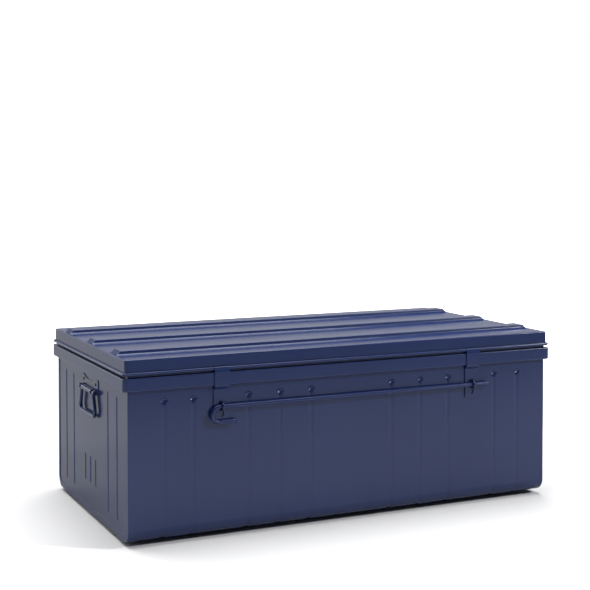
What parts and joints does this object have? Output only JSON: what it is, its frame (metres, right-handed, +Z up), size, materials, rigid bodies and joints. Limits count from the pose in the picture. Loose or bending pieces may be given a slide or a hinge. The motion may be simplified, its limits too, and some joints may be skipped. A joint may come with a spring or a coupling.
{
  "type": "tin trunk",
  "caption": "Rectangular sheet-metal trunk with a ribbed hinged lid, grooved walls, slotted hasps over staples held by a hooked locking bar, and drop handles on the ends.",
  "frame": {"origin": "middle of the trunk's footprint, on the floor", "axes": "+X along the length towards the right end seen from the front, +Y towards the back where the hinges are, +Z up"},
  "size_m": [0.77, 0.4228, 0.291],
  "materials": {
    "trunk_paint": "semi-gloss slate blue enamel on sheet steel",
    "hardware_paint": "the same enamel brushed over steel strip and rod",
    "rim_wire_steel": "drawn steel wire, hidden in the rolled rim"
  },
  "bodies": {
    "case": {"body_wrap": "trunk_paint", "left_end_panel": "trunk_paint", "right_end_panel": "trunk_paint", "collar_band": "trunk_paint", "left_staple": "hardware_paint", "right_staple": "hardware_paint", "left_backing_plate": "hardware_paint", "right_backing_plate": "hardware_paint", "left_hinge_strap": "hardware_paint", "right_hinge_strap": "hardware_paint", "left_hinge_rivets": "hardware_paint", "right_hinge_rivets": "hardware_paint", "left_handle_plate": "hardware_paint", "right_handle_plate": "hardware_paint", "left_handle_rivets": "hardware_paint", "right_handle_rivets": "hardware_paint"},
    "lid": {"lid_shell": "trunk_paint", "lid_rim_wire": "rim_wire_steel"},
    "left_hasp": {"left_hasp": "hardware_paint"},
    "right_hasp": {"right_hasp": "hardware_paint"},
    "locking_bar": {"locking_bar": "hardware_paint"},
    "left_handle_bail": {"left_handle_bail": "hardware_paint"},
    "right_handle_bail": {"right_handle_bail": "hardware_paint"}
  },
  "joints": [
    {"name": "lid_hinge", "type": "hinge", "parent": "case", "child": "lid", "pos_m": [0, 0.2046, 0.2635], "axis": [-1, 0, 0], "range_deg": [0, 120]},
    {"name": "left_hasp_hinge", "type": "hinge", "parent": "lid", "child": "left_hasp", "pos_m": [-0.227, -0.2046, 0.2635], "axis": [-1, 0, 0], "range_deg": [0, 145]},
    {"name": "right_hasp_hinge", "type": "hinge", "parent": "lid", "child": "right_hasp", "pos_m": [0.227, -0.2046, 0.2635], "axis": [-1, 0, 0], "range_deg": [0, 145]},
    {"name": "bar_slide", "type": "slide", "parent": "case", "child": "locking_bar", "axis": [-1, 0, 0], "range_m": [0, 0.48]},
    {"name": "left_bail_hinge", "type": "hinge", "parent": "case", "child": "left_handle_bail", "pos_m": [-0.38, 0, 0.2095], "axis": [0, 1, 0], "range_deg": [0, 165]},
    {"name": "right_bail_hinge", "type": "hinge", "parent": "case", "child": "right_handle_bail", "pos_m": [0.38, 0, 0.2095], "axis": [0, -1, 0], "range_deg": [0, 165]}
  ]
}
